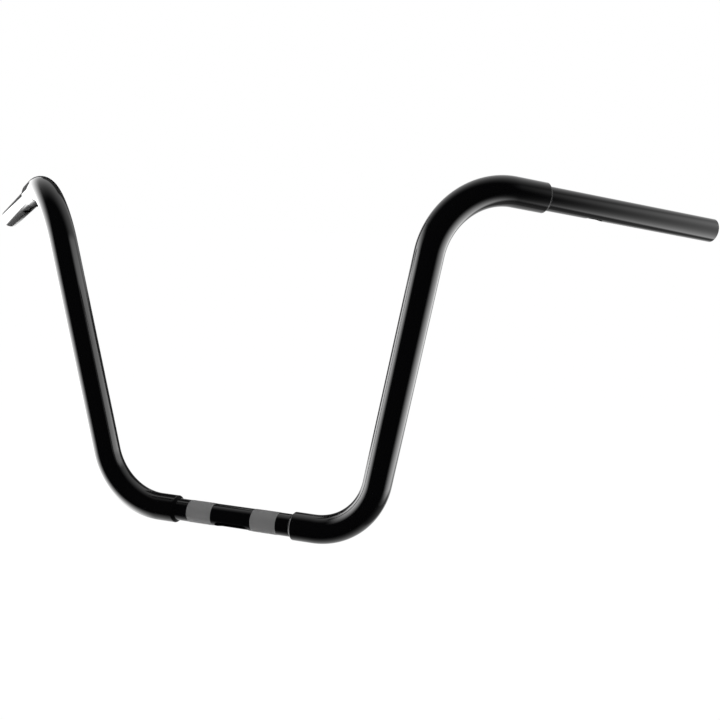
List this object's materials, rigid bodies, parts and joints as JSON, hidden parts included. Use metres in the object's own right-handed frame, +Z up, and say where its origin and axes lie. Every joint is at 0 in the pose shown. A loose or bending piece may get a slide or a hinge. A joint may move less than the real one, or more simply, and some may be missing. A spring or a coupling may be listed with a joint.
{
  "type": "ape hanger handlebar",
  "caption": "Tall motorcycle handlebar with fat bent side tubes welded to a thin clamped centre tube and thin grip tubes.",
  "frame": {"origin": "middle of the clamped centre tube, on its axis", "axes": "+X along the centre tube towards the rider's left, +Y back towards the rider, +Z up in the plane of the two legs"},
  "size_m": [0.987, 0.2296, 0.4019],
  "materials": {
    "gloss_black": "smooth high-gloss black coat over steel tube, knurled bands in flat grey-black"
  },
  "bodies": {
    "root": {"centre_clamp_tube": "gloss_black", "left_side_tube": "gloss_black", "right_side_tube": "gloss_black", "left_grip_tube": "gloss_black", "right_grip_tube": "gloss_black"}
  },
  "joints": []
}
